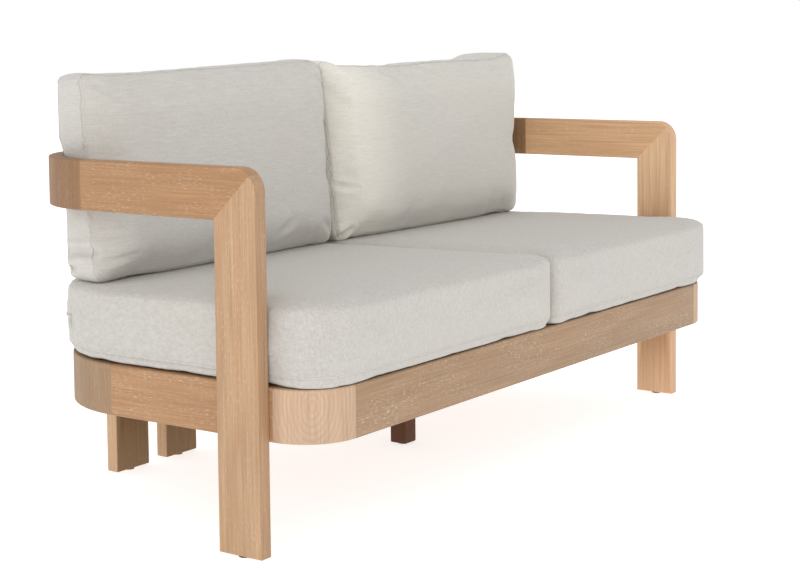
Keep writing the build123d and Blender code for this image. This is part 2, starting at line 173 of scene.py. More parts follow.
def limed_teak(name, ground, turn, pith=(0.09, 0.16), ring_gap=0.006, figure=0.3, liming=0.6,
               seed=0, ring_scale=(0.16, 1, 1), fibre_turn=None, painted_front_shade=None):
    """Brushed teak with the grain along X after the turn: growth rings, fibres and limed pores.

    Fibres may have a turn of their own. A front shade is painted shade: it multiplies the colour of
    faces that look forward.
    """
    material, tree, output = new_material(name)
    place = add_node(tree, "ShaderNodeTexCoord").outputs["Object"]
    turned = add_node(tree, "ShaderNodeMapping", {
        "Vector": place, "Rotation": turn, "Location": (seed * board_step, *pith)}).outputs[0]

    # Growth rings round a pith beside the board, drawn out along the grain
    drawn_out = add_node(tree, "ShaderNodeMapping", {
        "Vector": turned, "Scale": ring_scale}).outputs[0]
    rings = add_node(tree, "ShaderNodeTexWave", {
        "Vector": drawn_out, "Scale": wave_gap / ring_gap, "Distortion": 5.5, "Detail": 2.0,
        "Detail Scale": 0.35, "Detail Roughness": 0.5},
        wave_type="RINGS", rings_direction="X", wave_profile="SAW").outputs["Fac"]
    late_wood = add_node(tree, "ShaderNodeMapRange", {
        "Value": rings, "From Min": 0.45, "From Max": 1.0, "To Max": figure}).outputs[0]

    # Fibres: about 3 mm wide, 15 cm long
    if fibre_turn:
        turned = add_node(tree, "ShaderNodeMapping", {
            "Vector": place, "Rotation": fibre_turn}).outputs[0]
    fibre_space = add_node(tree, "ShaderNodeMapping", {
        "Vector": turned, "Scale": (7, 330, 330)}).outputs[0]
    fibres = add_node(tree, "ShaderNodeTexNoise", {
        "Vector": fibre_space, "Scale": 1.0, "Detail": 4.0, "Roughness": 0.62}).outputs["Fac"]

    # Limed pores: real ones are 0.3 mm wide; drawn 1 mm wide and 12 mm long so that they show
    pore_space = add_node(tree, "ShaderNodeMapping", {
        "Vector": turned, "Scale": (85, 1000, 1000)}).outputs[0]
    pores = add_node(tree, "ShaderNodeTexNoise", {
        "Vector": pore_space, "Scale": 1.0, "Detail": 2.0, "Roughness": 0.5}).outputs["Fac"]
    patch_space = add_node(tree, "ShaderNodeMapping", {
        "Vector": turned, "Scale": (7, 40, 40)}).outputs[0]
    patches = add_node(tree, "ShaderNodeTexNoise", {
        "Vector": patch_space, "Scale": 1.0, "Detail": 1.0}).outputs["Fac"]
    open_pores = add_node(tree, "ShaderNodeMapRange", {
        "Value": pores, "From Min": 0.56, "From Max": 0.72}).outputs[0]
    filled = add_node(tree, "ShaderNodeMapRange", {
        "Value": patches, "From Min": 0.25, "From Max": 0.65, "To Max": liming}).outputs[0]
    lime = add_node(tree, "ShaderNodeMath", {
        0: open_pores, 1: filled}, operation="MULTIPLY").outputs[0]

    # Slow colour drift along the plank
    drift_space = add_node(tree, "ShaderNodeMapping", {
        "Vector": turned, "Scale": (2.2, 17, 17)}).outputs[0]
    drift = add_node(tree, "ShaderNodeTexNoise", {
        "Vector": drift_space, "Scale": 1.0, "Detail": 2.0}).outputs["Fac"]

    base = linear(ground)
    paler = [min(1, c * 1.16) for c in base[:3]] + [1]
    darker = [base[0] * 0.80, base[1] * 0.74, base[2] * 0.68, 1]
    rosy = [base[0] * 0.90, base[1] * 0.70, base[2] * 0.58, 1]
    tone = add_node(tree, "ShaderNodeValToRGB", {"Fac": fibres})
    low_end, high_end = tone.color_ramp.elements
    low_end.position, low_end.color = 0.28, darker
    high_end.position, high_end.color = 0.72, paler
    ringed = add_node(tree, "ShaderNodeMix", {
        "Factor": late_wood, 6: tone.outputs[0], 7: rosy}, data_type="RGBA").outputs[2]
    drift_amount = add_node(tree, "ShaderNodeMapRange", {
        "Value": drift, "From Min": 0.3, "From Max": 0.7,
        "To Min": 0.93, "To Max": 1.07}).outputs[0]
    drifted = add_node(tree, "ShaderNodeMix", {
        "Factor": 1.0, 6: ringed, 7: drift_amount},
        data_type="RGBA", blend_type="MULTIPLY").outputs[2]
    colour = add_node(tree, "ShaderNodeMix", {
        "Factor": lime, 6: drifted, 7: linear("#F0E4D0")}, data_type="RGBA").outputs[2]
    # Painted shade: the colour of faces that look forward is multiplied darker
    if painted_front_shade:
        normal = add_node(tree, "ShaderNodeTexCoord").outputs["Normal"]
        facing = add_node(tree, "ShaderNodeSeparateXYZ", {0: normal}).outputs["Y"]
        forward = add_node(tree, "ShaderNodeMapRange", {
            "Value": facing, "From Min": -0.8, "From Max": -0.6,
            "To Min": 1.0, "To Max": 0.0}).outputs[0]
        colour = add_node(tree, "ShaderNodeMix", {
            "Factor": forward, 6: colour, 7: (*painted_front_shade, 1)},
            data_type="RGBA", blend_type="MULTIPLY").outputs[2]

    relief = add_node(tree, "ShaderNodeMath", {
        0: fibres, 1: open_pores}, operation="SUBTRACT").outputs[0]
    bump = add_node(tree, "ShaderNodeBump", {
        "Height": relief, "Strength": 0.35, "Distance": 0.0004}).outputs[0]
    rough = add_node(tree, "ShaderNodeMapRange", {
        "Value": fibres, "To Min": 0.52, "To Max": 0.68}).outputs[0]
    wood = add_node(tree, "ShaderNodeBsdfPrincipled", {
        "Base Color": colour, "Roughness": rough, "IOR": 1.5, "Specular IOR Level": 0.4,
        "Normal": bump})
    tree.links.new(wood.outputs[0], output.inputs["Surface"])
    return material


def teak_piece(node, material):
    """A smooth-shaded copy of a packed board, its loose triangles joined up, in a material."""
    mesh = frame["nodes"][node].data.copy()
    board = bmesh.new()
    board.from_mesh(mesh)
    bmesh.ops.remove_doubles(board, verts=board.verts, dist=1e-5)
    board.to_mesh(mesh)
    board.free()
    mesh.shade_smooth()
    mesh.set_sharp_from_angle(angle=sharp_from)
    mesh.materials.clear()
    mesh.materials.append(material)
    piece = add_object(f"{node}_board", mesh)
    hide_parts(node)
    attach(piece, "frame")


# Right arm and post drawn paler than the left: painted light on their inner faces
arm_grounds_painted_light = {"left": "#A9835E", "right": "#D5AE87"}
post_grounds_painted_light = {"left": "#B79777", "right": "#DDBA97"}
# Painted shade on the posts' front faces
post_painted_front_shade = (0.86, 0.83, 0.82)
for seed, side in enumerate(("left", "right")):
    arm_wood = limed_teak(f"limed_teak_{side}_arm", arm_grounds_painted_light[side], along_y, liming=0.5,
                          seed=seed)
    post_wood = limed_teak(f"limed_teak_{side}_post", post_grounds_painted_light[side], along_z, liming=0.4,
                           seed=seed + 2, painted_front_shade=post_painted_front_shade)
    corner_wood = limed_teak(f"limed_teak_{side}_upper_corner", "#8C6C4D", along_z, figure=0.4,
                             liming=0.2, seed=seed + 4)
    teak_piece(f"{side}_arm_rail", arm_wood)
    teak_piece(f"{side}_front_post", post_wood)
    teak_piece(f"{side}_back_corner", corner_wood)
teak_piece("back_rail", limed_teak("limed_teak_back_rail", "#B99472", along_x, seed=6))


# Base ring
# Four straight rails and four round corner blocks, dowelled end to end into a ring that carries
# the seat. The front rail is greyer and more heavily limed. The front corners are sawn through the
# rings close to the pith, which leaves nested ovals on their round faces.
front_rail_wood = limed_teak("limed_teak_front_rail", "#A0856A", along_x, liming=0.7, seed=7)
back_rail_wood = limed_teak("limed_teak_base_back_rail", "#B59473", along_x, seed=8)
teak_piece("base_front_rail", front_rail_wood)
teak_piece("base_back_rail", back_rail_wood)
for seed, (side, sign) in enumerate((("left", -1), ("right", 1))):
    rail_wood = limed_teak(f"limed_teak_base_{side}_rail", "#AB8663", along_y, seed=seed + 9)
    oval_wood = limed_teak(
        f"limed_teak_base_front_{side}_corner", "#C3A991", (0, 0, sign * math.pi / 4),
        pith=(-0.275, -0.256), ring_gap=0.007, figure=0.55, liming=0.2, seed=seed + 11,
        ring_scale=(0.3, 1, 0.6), fibre_turn=along_z)
    corner_wood = limed_teak(f"limed_teak_base_back_{side}_corner", "#9A8065", along_z,
                             figure=0.4, liming=0.2, seed=seed + 13)
    teak_piece(f"base_{side}_rail", rail_wood)
    teak_piece(f"base_front_{side}_corner", oval_wood)
    teak_piece(f"base_back_{side}_corner", corner_wood)


# Boards behind the back
# Upright boards bolted to the outside of both rings: four reach the floor as back legs and three
# stop at the base. Their front faces are drawn browner than their edges: painted shade from under
# the seat.
under_seat_painted_shade = (0.42, 0.39, 0.30)
for number in range(1, 5):
    leg_wood = limed_teak(f"limed_teak_back_leg_{number}", "#BFA080", along_z, liming=0.3,
                          seed=number + 14, painted_front_shade=under_seat_painted_shade)
    teak_piece(f"back_leg_{number}", leg_wood)
for number in range(1, 4):
    slat_wood = limed_teak(f"limed_teak_back_slat_{number}", "#B5946F", along_z, seed=number + 18)
    teak_piece(f"back_slat_{number}", slat_wood)


# Centre leg
# A square teak leg bolted to the side of the middle beam, planed and drawn dark brown: painted
# shade from under the seat.
leg_wood = limed_teak("teak_leg_with_painted_shade", "#563114", along_z, liming=0, seed=22)
teak_piece("centre_leg", leg_wood)


# Seat deck
# Eight slats screwed down on three cross beams and two cleats. All are planed teak, hardly limed,
# and show only from below or when a cushion is off.
slat_wood = limed_teak("planed_teak_slats", "#B9926D", along_x, liming=0.1, seed=23)
beam_wood = limed_teak("planed_teak_beams", "#AF8763", along_y, liming=0.1, seed=24)
for number in range(1, 9):
    teak_piece(f"seat_slat_{number}", slat_wood)
for node in ("left_beam", "centre_beam", "right_beam", "left_cleat", "right_cleat"):
    teak_piece(node, beam_wood)


# Bolts, threaded sleeves and screws
# Flat-headed connector bolts turn into threaded sleeves in the boards behind, and countersunk
# screws hold the slats and cleats. All are turned from stainless steel: fine lathe lines blur what
# it mirrors.
def dressed(material, *nodes):
    """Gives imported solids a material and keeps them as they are."""
    for node in nodes:
        frame["nodes"][node].data.materials.clear()
        frame["nodes"][node].data.materials.append(material)


steel, tree, output = new_material("turned_stainless_steel")
place = add_node(tree, "ShaderNodeTexCoord").outputs["Object"]
lines = add_node(tree, "ShaderNodeTexNoise", {
    "Vector": place, "Scale": 900.0, "Detail": 2.0}).outputs["Fac"]
rough = add_node(tree, "ShaderNodeMapRange", {
    "Value": lines, "To Min": 0.28, "To Max": 0.42}).outputs[0]
metal = add_node(tree, "ShaderNodeBsdfPrincipled", {
    "Base Color": linear("#B9B8B6"), "Metallic": 1.0, "Roughness": rough})
tree.links.new(metal.outputs[0], output.inputs["Surface"])
dressed(steel, "post_bolts", "post_inserts", "back_bolts", "back_inserts", "leg_bolts",
        "leg_inserts", "slat_screws", "cleat_screws")


# Dowels
# Round pins of plain beech, paler than the teak, glued half into each of two boards. They lie
# wholly inside the joints.
beech = limed_teak("plain_beech_dowels", "#DBBE93", along_x, liming=0, figure=0.1, seed=25)
dressed(beech, "base_ring_dowels", "top_ring_dowels", "mitre_dowels")


# Glides
# Small dark brown discs nailed in under each leg, which keep its end grain off wet ground. They
# are moulded in polyethylene, with a faint grain and a low, even gloss.
glide_plastic, tree, output = new_material("moulded_brown_polyethylene")
place = add_node(tree, "ShaderNodeTexCoord").outputs["Object"]
grain = add_node(tree, "ShaderNodeTexNoise", {"Vector": place, "Scale": 1500.0}).outputs["Fac"]
bump = add_node(tree, "ShaderNodeBump", {
    "Height": grain, "Strength": 0.2, "Distance": 0.0001}).outputs[0]
plastic = add_node(tree, "ShaderNodeBsdfPrincipled", {
    "Base Color": linear("#3A261B"), "Roughness": 0.5, "IOR": 1.5, "Normal": bump})
tree.links.new(plastic.outputs[0], output.inputs["Surface"])
dressed(glide_plastic, "glides")


# Seat cushions
# Two box cushions of firm foam in zipped covers of heavy plain-woven cloth, cut to the base ring's
# corners. The top panel rolls over the front edge and is sewn to the base panel just above the
# wood.
cushion_gap = 0.0004
cloth_voxel = 0.008
cloth_frames = 20
evening_rounds = 12
base_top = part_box("base_front_rail")[1].z
seat_low, seat_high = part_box("right_seat_cover")
seat_height = seat_high.z - seat_low.z
seat_fall = 0.012
seat_crown = 0.0045
seat_overhang = 0.001
seat_start_inset = 0.003
seat_pressure, seat_most_moved = 3.0, 0.010
seat_outline_radii = (0.026, 0.080, 0.196, 0.026)
base_ring_radii = (0.026, 0.097, 0.232, 0.026)
top_edge_radius, bottom_edge_radius = 0.013, 0.005
seat_seam_height = 0.016
pressed_height = 0.014
ring_reach, ring_pull = 0.018, 0.04
under_back_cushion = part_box("right_back_cover")[0].y


def cover_mesh(name, slices):
    """A closed cover from outlines of equally many points, with flat ends."""
    shell = bmesh.new()
    rows = [[shell.verts.new(point) for point in outline] for outline in slices]
    count = len(rows[0])
    for lower, upper in zip(rows, rows[1:]):
        for i in range(count):
            shell.faces.new((lower[i], lower[(i + 1) % count], upper[(i + 1) % count], upper[i]))
    shell.faces.new(list(reversed(rows[0])))
    shell.faces.new(rows[-1])
    bmesh.ops.recalc_face_normals(shell, faces=shell.faces)
    mesh = bpy.data.meshes.new(name)
    shell.to_mesh(mesh)
    shell.free()
    return mesh


def rounded_outline(low, high, radii, steps=8):
    """A rectangle in the plane with its own radius at each corner, anticlockwise from low-low."""
    signs = ((1, 1), (-1, 1), (-1, -1), (1, -1))
    corners = ((low[0], low[1]), (high[0], low[1]), (high[0], high[1]), (low[0], high[1]))
    points = []
    for turn, (corner, sign, radius) in enumerate(zip(corners, signs, radii)):
        centre = (corner[0] + sign[0] * radius, corner[1] + sign[1] * radius)
        for step in range(steps + 1):
            angle = math.pi + (turn + step / steps) * math.pi / 2
            points.append((centre[0] + radius * math.cos(angle),
                           centre[1] + radius * math.sin(angle)))
    return points


def applied(piece):
    """Turns a piece with its modifiers into a plain mesh."""
    graph = bpy.context.evaluated_depsgraph_get()
    mesh = bpy.data.meshes.new_from_object(piece.evaluated_get(graph))
    piece.modifiers.clear()
    piece.data = mesh


def read_rows(rows, name, count):
    """One vector for each vertex, as an array of rows."""
    values = np.zeros(count * 3, np.float32)
    rows.foreach_get(name, values)
    return values.reshape(-1, 3).astype(float)


def points_of(mesh):
    return read_rows(mesh.vertices, "co", len(mesh.vertices))


def normals_of(mesh):
    return read_rows(mesh.vertex_normals, "vector", len(mesh.vertices))


def write_points(mesh, points):
    mesh.vertices.foreach_set("co", points.astype(np.float32).ravel())
    mesh.update()


def evened(values, mesh, rounds):
    """Vectors at the vertices, averaged along the edges over some rounds."""
    edges = np.zeros(len(mesh.edges) * 2, np.int32)
    mesh.edges.foreach_get("vertices", edges)
    a, b = edges.reshape(-1, 2).T
    ends, others, count = np.r_[a, b], np.r_[b, a], len(mesh.vertices)
    neighbours = np.bincount(ends, minlength=count)[:, None]
    for _ in range(rounds):
        total = np.stack([np.bincount(ends, values[others, i], count) for i in range(3)], axis=1)
        values = (values + total / neighbours) / 2
    return values


def blown_up(name, mesh, pressure, most, stretch_shares, wrinkle_share):
    """The cover as cloth under its filling's pressure, with no point moved further than most.

    Stretch shares say how much of the movement the weave allows along X, Y and Z, and the wrinkle
    share how much of the fine part of it stays.
    """
    piece = add_object(name, mesh)
    remesh = piece.modifiers.new("even_cloth", "REMESH")
    remesh.mode = "VOXEL"
    remesh.voxel_size = cloth_voxel
    applied(piece)
    start = points_of(piece.data)
    cloth = piece.modifiers.new("cover", "CLOTH")
    cloth.settings.quality = 5
    cloth.settings.use_pressure = True
    cloth.settings.uniform_pressure_force = pressure
    cloth.settings.effector_weights.gravity = 0
    cloth.point_cache.frame_start = 1
    cloth.point_cache.frame_end = cloth_frames
    for step in range(1, cloth_frames + 1):
        bpy.context.scene.frame_set(step)
    applied(piece)
    bpy.context.scene.frame_set(1)
    moved = points_of(piece.data) - start
    length = np.linalg.norm(moved, axis=1, keepdims=True)
    moved *= np.minimum(1, most / np.maximum(length, 1e-9))
    broad = evened(moved, piece.data, evening_rounds)
    write_points(piece.data, start + (broad + wrinkle_share * (moved - broad)) * stretch_shares)
    finer = piece.modifiers.new("finer", "SUBSURF")
    finer.levels = finer.render_levels = 1
    applied(piece)
    piece.data.shade_smooth()
    return piece


def fitted(points, low, high):
    """Points stretched a little along each axis, so that they span from low to high."""
    lowest, highest = points.min(axis=0), points.max(axis=0)
    return np.array(low) + (points - lowest) / (highest - lowest) * (np.array(high) - np.array(low))


def seat_surface(y):
    """Height of the seat under the back cushions at one depth."""
    return seat_high.z - seat_fall * (y - seat_low.y) / (seat_high.y - seat_low.y)


def seat_outline(inset, height):
    """The right seat cushion's outline at one height, tilted a little towards the back."""
    low = (seat_low.x + seat_start_inset + inset, seat_low.y + seat_start_inset + inset)
    high = (seat_high.x - seat_start_inset - inset, seat_high.y - seat_start_inset - inset)
    radii = [max(radius - inset, 0.004) for radius in seat_outline_radii]
    fall = seat_fall * height / seat_height
    depth = seat_high.y - seat_low.y
    return [(x, y, seat_low.z + height - fall * (y - seat_low.y) / depth)
            for x, y in rounded_outline(low, high, radii)]


def seat_slices():
    """Level outlines of the right seat cushion, rounded at its top and bottom edges."""
    slices = []
    for step in range(5):
        angle = step / 4 * math.pi / 2
        slices.append(seat_outline(bottom_edge_radius * (1 - math.sin(angle)),
                                   bottom_edge_radius * (1 - math.cos(angle))))
    for share in (0.35, 0.6):
        slices.append(seat_outline(0, seat_height * share))
    for step in range(7):
        angle = step / 6 * math.pi / 2
        slices.append(seat_outline(top_edge_radius * (1 - math.cos(angle)),
                                   seat_height - top_edge_radius * (1 - math.sin(angle))))
    return slices


def path_tree(path):
    """A search tree over the points of a path."""
    tree = KDTree(len(path))
    for i, place in enumerate(path):
        tree.insert(place, i)
    tree.balance()
    return tree


def on_base_ring(points):
    """Draws the foot of the right seat cushion out to the base ring's outline, over the wood."""
    low = (cushion_gap / 2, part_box("base_front_rail")[0].y)
    high = (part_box("base_right_rail")[1].x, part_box("base_back_rail")[1].y)
    outline = rounded_outline(low, high, base_ring_radii, steps=24)
    tree = path_tree(evenly([(x, y, 0) for x, y in outline])[0])
    height = np.maximum(points[:, 2] - base_top, 0)
    for i in np.flatnonzero(height < ring_reach):
        place, _, distance = tree.find((*points[i, :2], 0))
        share = max(1 - distance / ring_pull, 0) ** 0.5 * (1 - (height[i] / ring_reach) ** 2)
        points[i, :2] += (np.array(place)[:2] - points[i, :2]) * share
    return points


def evenly(outline, spacing=0.002):
    """A closed outline as evenly spaced points, with how far round each one lies."""
    corners = np.array([*outline, outline[0]])
    reach = np.r_[0, np.cumsum(np.linalg.norm(np.diff(corners, axis=0), axis=1))]
    stations = np.arange(0, reach[-1], spacing)
    return np.stack([np.interp(stations, reach, corners[:, i]) for i in range(3)], axis=1), stations


def on_cover(piece, path, lift=0.0):
    """A path laid on the cover, at a height above it."""
    laid = []
    for point in path:
        _, place, normal, _ = piece.closest_point_on_mesh(point)
        laid.append(place + normal * lift)
    return np.array(laid)


# A seam's groove, how far its puckers reach, and the shortest, usual and longest of them
groove_width, pucker_reach = 0.0035, 0.018
pucker_lengths = (0.008, 0.012, 0.026)


def sewn(points, normals, path, stations, depth, pucker, seed):
    """Draws the cover in along a seam and gathers it in small puckers beside it."""
    tree = path_tree(path)
    found = [tree.find(point)[1:] for point in points]
    nearest = np.array([i for i, _ in found])
    distance = np.array([d for _, d in found])
    shuffle = np.random.default_rng(seed)
    shortest, usual, longest = pucker_lengths
    knots = np.cumsum(shuffle.uniform(shortest, longest, int(stations[-1] / usual) + 4))
    gathers = np.interp(stations[nearest], knots, shuffle.uniform(-1, 1, len(knots)))
    groove = np.exp(-(distance / groove_width) ** 2)
    height = pucker * gathers * np.exp(-distance / pucker_reach) * (1 - groove) - depth * groove
    return points + normals * height[:, None]


# Real threads lie 0.7 mm apart; they are drawn 2.2 mm apart so that they show
thread_gap = 0.0022


def woven_cloth(name, colour, slub_stretch, contrast=1.0, painted_light_end=0.0):
    """Heathered plain weave: crossed threads, slubs along the weft and a soft sheen.

    The last argument is painted warm light: how much paler and yellower the cloth gets towards the
    sofa's middle.
    """
    material, tree, output = new_material(name)
    coordinates = add_node(tree, "ShaderNodeTexCoord")
    place = coordinates.outputs["Object"]
    facing = add_node(tree, "ShaderNodeVectorMath", {
        0: coordinates.outputs["Normal"]}, operation="ABSOLUTE")
    facing = add_node(tree, "ShaderNodeSeparateXYZ", {0: facing.outputs[0]})

    # Threads across each axis, where the cloth doesn't face along it
    weave = None
    for axis in "XYZ":
        threads = add_node(tree, "ShaderNodeTexWave", {
            "Vector": place, "Scale": wave_gap / thread_gap, "Distortion": 1.6, "Detail": 2.0,
            "Detail Scale": 1.2}, wave_type="BANDS", bands_direction=axis).outputs["Fac"]
        seen = add_node(tree, "ShaderNodeMapRange", {
            "Value": facing.outputs[axis], "From Min": 0.35, "From Max": 0.85,
            "To Min": 1.0, "To Max": 0.0}).outputs[0]
        threads = add_node(tree, "ShaderNodeMath", {
            0: threads, 1: seen}, operation="MULTIPLY").outputs[0]
        if weave is None:
            weave = threads
        else:
            weave = add_node(tree, "ShaderNodeMath", {
                0: weave, 1: threads}, operation="ADD").outputs[0]

    # Slubs: thicker stretches of weft, 1 to 2 mm thick and 3 cm long; heather: flecks of 2 mm
    slub_space = add_node(tree, "ShaderNodeMapping", {
        "Vector": place, "Scale": slub_stretch}).outputs[0]
    slubs = add_node(tree, "ShaderNodeTexNoise", {
        "Vector": slub_space, "Scale": 1.0, "Detail": 3.0}).outputs["Fac"]
    heather = add_node(tree, "ShaderNodeTexNoise", {
        "Vector": place, "Scale": 320.0, "Detail": 3.0}).outputs["Fac"]
    drift = add_node(tree, "ShaderNodeTexNoise", {
        "Vector": place, "Scale": 5.0, "Detail": 2.0}).outputs["Fac"]

    amount = add_node(tree, "ShaderNodeMath", {0: weave, 1: 0.35}, operation="MULTIPLY")
    for part in (slubs, heather):
        amount = add_node(tree, "ShaderNodeMath", {0: amount.outputs[0], 1: part}, operation="ADD")
    amount = amount.outputs[0]
    base = linear(colour)
    spread = add_node(tree, "ShaderNodeMapRange", {
        "Value": amount, "From Min": 0.85, "From Max": 1.75}).outputs[0]
    tone = add_node(tree, "ShaderNodeValToRGB", {"Fac": spread})
    deep = [1 - (1 - share) * contrast for share in (0.74, 0.73, 0.71)]
    low_end, high_end = tone.color_ramp.elements
    low_end.color = [c * share for c, share in zip(base, deep)] + [1]
    high_end.color = [min(1, c * (1 + 0.17 * contrast)) for c in base[:3]] + [1]
    warm = [min(1, base[0] * 1.04), base[1], base[2] * 0.90, 1]
    warmth = add_node(tree, "ShaderNodeMapRange", {
        "Value": drift, "From Min": 0.4, "From Max": 0.65, "To Max": 0.15}).outputs[0]
    coloured = add_node(tree, "ShaderNodeMix", {
        "Factor": warmth, 6: tone.outputs[0], 7: warm}, data_type="RGBA").outputs[2]
    # Painted warm light: paler and yellower towards the sofa's middle
    if painted_light_end:
        across = add_node(tree, "ShaderNodeSeparateXYZ", {0: place}).outputs["X"]
        painted_light_share = add_node(tree, "ShaderNodeMapRange", {
            "Value": across, "From Min": 0.05, "From Max": 0.24, "To Min": 1.0, "To Max": 0.0},
            interpolation_type="SMOOTHSTEP").outputs[0]
        painted_light_tint = (1 + painted_light_end, 1 + painted_light_end * 0.96, 1 + painted_light_end * 0.84, 1)
        coloured = add_node(tree, "ShaderNodeMix", {
            "Factor": painted_light_share, 6: coloured, 7: painted_light_tint},
            data_type="RGBA", blend_type="MULTIPLY").outputs[2]
    bump = add_node(tree, "ShaderNodeBump", {
        "Height": amount, "Strength": 0.45, "Distance": 0.0006}).outputs[0]
    cloth = add_node(tree, "ShaderNodeBsdfPrincipled", {
        "Base Color": coloured, "Roughness": 0.92, "IOR": 1.46, "Specular IOR Level": 0.2,
        "Sheen Weight": 0.2, "Sheen Roughness": 0.5, "Normal": bump})
    tree.links.new(cloth.outputs[0], output.inputs["Surface"])
    return material


seat_cloth = woven_cloth("plain_woven_seat_cloth", "#C0BEBA", (300, 90, 150), contrast=0.7)


def finish_cushion(piece, body, cloth, fill, *nodes):
    """Gives a cushion its cloth and ties it to its body."""
    piece.data.materials.clear()
    piece.data.materials.append(cloth)
    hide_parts(*nodes)
    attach(piece, body)


seat_seams = {}
for side, sign in (("left", -1), ("right", 1)):
    mirror = np.array((sign, 1, 1))
    outlines = [np.array(outline) * mirror for outline in seat_slices()]
    seat = blown_up(f"{side}_seat_cushion", cover_mesh(f"{side}_seat_cover_start", outlines),
                    seat_pressure, seat_most_moved, stretch_shares=(0.6, 0.6, 1),
                    wrinkle_share=0.6)
    points = fitted(points_of(seat.data) * mirror,
                    (cushion_gap / 2, seat_low.y - seat_overhang, base_top + cushion_gap),
                    (seat_high.x + seat_overhang, seat_high.y, seat_high.z + seat_crown))
    room = np.clip((under_back_cushion - points[:, 1]) / 0.10, 0, 1)
    pressed = seat_surface(points[:, 1]) - cushion_gap / 2 + (seat_crown + 0.002) * room
    points[:, 2] = np.minimum(points[:, 2], pressed)
    above = points[:, 2] - base_top - cushion_gap
    flattened = np.maximum(above, 0) ** 2 / pressed_height
    points[:, 2] = base_top + cushion_gap + np.where(above < pressed_height, flattened, above)
    points = on_base_ring(points)
    write_points(seat.data, points * mirror)

    seams = [evenly(np.array(seat_outline(0, seat_seam_height + shift)) * mirror)
             for shift in (0, 0.006)]
    path = on_cover(seat, seams[0][0])
    points = sewn(points_of(seat.data), normals_of(seat.data), path, seams[0][1],
                  depth=0.0012, pucker=0.0007, seed=5 + sign)
    points[:, 0] = sign * np.maximum(sign * points[:, 0], cushion_gap / 2)
    points[:, 2] = np.maximum(points[:, 2], base_top + cushion_gap)
    write_points(seat.data, points)
    seat_seams[side] = [on_cover(seat, seam[0], lift) for seam, lift in zip(seams, (0.0, 0.0002))]
    finish_cushion(seat, f"{side}_seat_cushion", seat_cloth, 0.85,
                   f"{side}_seat_cover", f"{side}_seat_core")


# Back cushions
# Fibre-filled cushions with a boxing strip between a front and a rear panel. They lean against the
# back rail with their outer ends pushed forward by the ring's round corners, and crease there.
back_width = 0.716
extra_width = {"left": 0.0, "right": 0.010}
back_height = 0.388
back_lean = math.radians(4)
rear_seam_y = 0.260
boxing = 0.092
corner_radius = 0.026
outer_tuck = 0.030
side_dip, upper_dip = 0.004, 0.006
back_pressure, back_most_moved = 4.0, 0.024
ring_corner = Vector((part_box("back_rail")[1].x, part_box("left_arm_rail")[1].y))
ring_inner_radius = 0.168
rail_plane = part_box("back_rail")[0].y
arm_top_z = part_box("left_arm_rail")[1].z
arm_inner_x = 0.734
ring_clearance = 0.0008
# Above the ring, the cushion may bulge this far over it, and does so within this height
bulge_over_ring, bulge_rise = 0.012, 0.03
back_cloths = {
    "left": woven_cloth("plain_woven_left_back_cloth", "#C6C4C0", (30, 30, 420), contrast=0.6),
    # The right cushion's cloth has painted warm light towards the sofa's middle
    "right": woven_cloth("plain_woven_right_back_cloth", "#CCCAC5", (30, 30, 420), contrast=0.5,
                         painted_light_end=0.25),
}


# Depth of the front seam at the inner end's foot and top, then at the outer end's foot and top
front_seam_depths = {
    "left": ((0.178, 0.206), (0.169, 0.199)),
    "right": ((0.172, 0.222), (0.166, 0.166)),
}
# How far the top lies below a full cushion's, at distances from the sofa's middle
top_drops = {
    "left": ((0, 0.002), (0.05, -0.001), (0.274, 0.008), (0.507, 0.016), (0.62, 0.015),
             (0.70, 0.012)),
    "right": ((0, -0.002), (0.03, 0.004), (0.075, 0.015), (0.263, 0.024), (0.363, 0.017),
              (0.531, 0.012), (0.62, 0.007), (0.67, -0.003), (0.72, -0.003)),
}


def back_outline(side, place, inset):
    """An upright outline of a back cushion, drawn on the right, at a place behind its seam."""
    share = min(max(place / boxing, 0), 1)
    low = (inset, inset)
    high = (back_width + extra_width[side] - inset - outer_tuck * share, back_height - inset)
    row = []
    radius = max(corner_radius - inset * 0.3, 0.006)
    for x, up in rounded_outline(low, high, [radius] * 4):
        across, rise = (x - low[0]) / (high[0] - low[0]), (up - low[1]) / (high[1] - low[1])
        waist = side_dip * math.sin(math.pi * min(max(rise, 0), 1)) * abs(2 * across - 1) ** 6
        if side == "right" and across > 0.5:
            waist = upper_dip * min(max(rise - 0.75, 0) / 0.25, 1)
        ends = [foot + (top - foot) * up / back_height for foot, top in front_seam_depths[side]]
        front = ends[0] + (ends[1] - ends[0]) * x / back_width
        rear = rear_seam_y + up * math.sin(back_lean)
        y = front + (rear - front) * share + min(place, 0) + max(place - boxing, 0)
        floor_z = seat_surface(y) + cushion_gap
        row.append((x + (waist if across < 0.5 else -waist) + cushion_gap / 2, y,
                    floor_z + up * math.cos(back_lean)))
    return row


def back_slices(side):
    """Upright outlines of a back cushion from its front panel to its rear one."""
    rows = [(-0.022, 0.080), (-0.016, 0.036), (-0.009, 0.012), (0.0, 0.002),
            (0.5 * boxing, 0.001), (boxing, 0.002), (boxing + 0.008, 0.012),
            (boxing + 0.018, 0.036), (boxing + 0.024, 0.080)]
    return [back_outline(side, place, inset) for place, inset in rows]


def crested(points, sign, side):
    """Brings the top of a back cushion to its line in the photograph, with ears at its ends."""
    across = sign * points[:, 0]
    columns = np.linspace(0, back_width, 48)
    wanted = seat_high.z - 0.010 + back_height - np.interp(columns, *zip(*top_drops[side]))
    lifts = []
    for x, height in zip(columns, wanted):
        near = np.abs(across - x) < 0.012
        lifts.append(height - points[near, 2].max() if near.any() else 0)
    share = np.clip((points[:, 2] - seat_high.z) / back_height, 0, 1)
    points[:, 2] += np.interp(across, columns, lifts) * share ** 2.5
    return points


# How far a back cushion sinks into the seat, drops at most, and gives way up its height
rest_sink, most_drop, drop_height = 0.003, 0.016, 0.15


